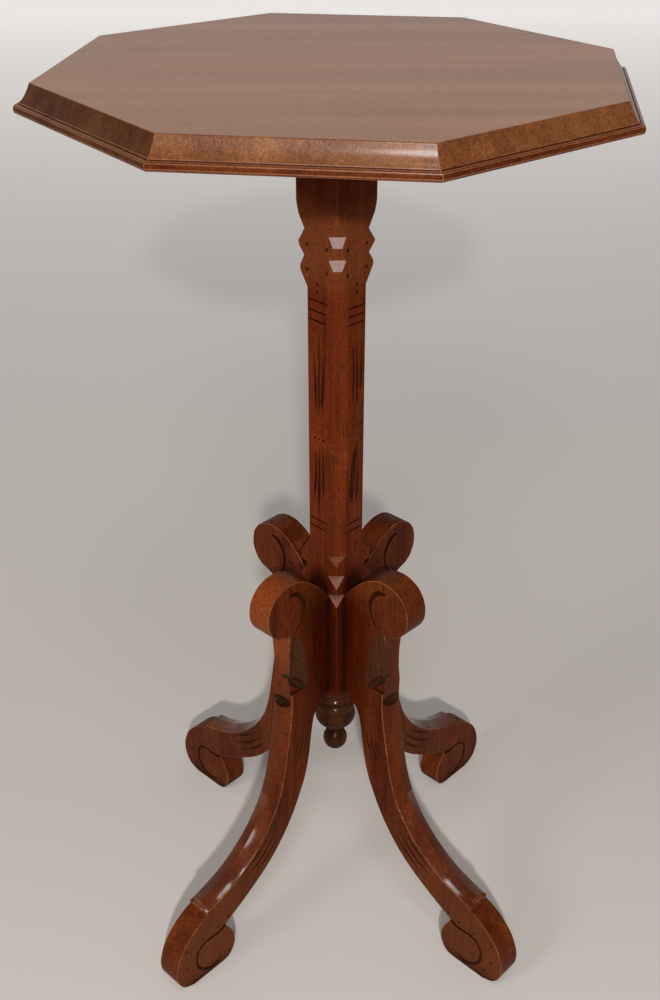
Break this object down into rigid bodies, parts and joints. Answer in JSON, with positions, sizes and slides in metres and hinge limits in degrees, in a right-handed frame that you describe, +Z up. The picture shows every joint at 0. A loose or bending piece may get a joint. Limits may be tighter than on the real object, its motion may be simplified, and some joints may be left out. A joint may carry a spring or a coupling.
{
  "type": "candlestand",
  "caption": "Tall occasional stand with an octagonal moulded top on a carved chamfered post, sawn scroll legs and a turned drop below.",
  "frame": {"origin": "on the floor, on the post's axis", "axes": "+Z up along the post; the front is toward -Y; the post's carved corners point along X and Y and the legs stand on the diagonals"},
  "size_m": [0.4104, 0.4104, 0.737],
  "materials": {
    "walnut_top": "satin varnish",
    "walnut_cleat": "thin varnish",
    "screw_steel": "dull",
    "walnut_post": "satin varnish",
    "wedge_wood": "bare",
    "walnut_legs": "satin varnish",
    "dowel_wood": "bare",
    "walnut_drop": "satin varnish"
  },
  "bodies": {
    "root": {"top_board": "walnut_top", "cleat_block": "walnut_cleat", "cleat_screw_front": "screw_steel", "cleat_screw_right": "screw_steel", "cleat_screw_rear": "screw_steel", "cleat_screw_left": "screw_steel", "post": "walnut_post", "tenon_wedge": "wedge_wood", "leg_front_left": "walnut_legs", "leg_front_right": "walnut_legs", "leg_rear_left": "walnut_legs", "leg_rear_right": "walnut_legs", "dowel_front_left_lower": "dowel_wood", "dowel_front_left_upper": "dowel_wood", "dowel_front_right_lower": "dowel_wood", "dowel_front_right_upper": "dowel_wood", "dowel_rear_left_lower": "dowel_wood", "dowel_rear_left_upper": "dowel_wood", "dowel_rear_right_lower": "dowel_wood", "dowel_rear_right_upper": "dowel_wood", "turned_drop": "walnut_drop"}
  },
  "joints": []
}
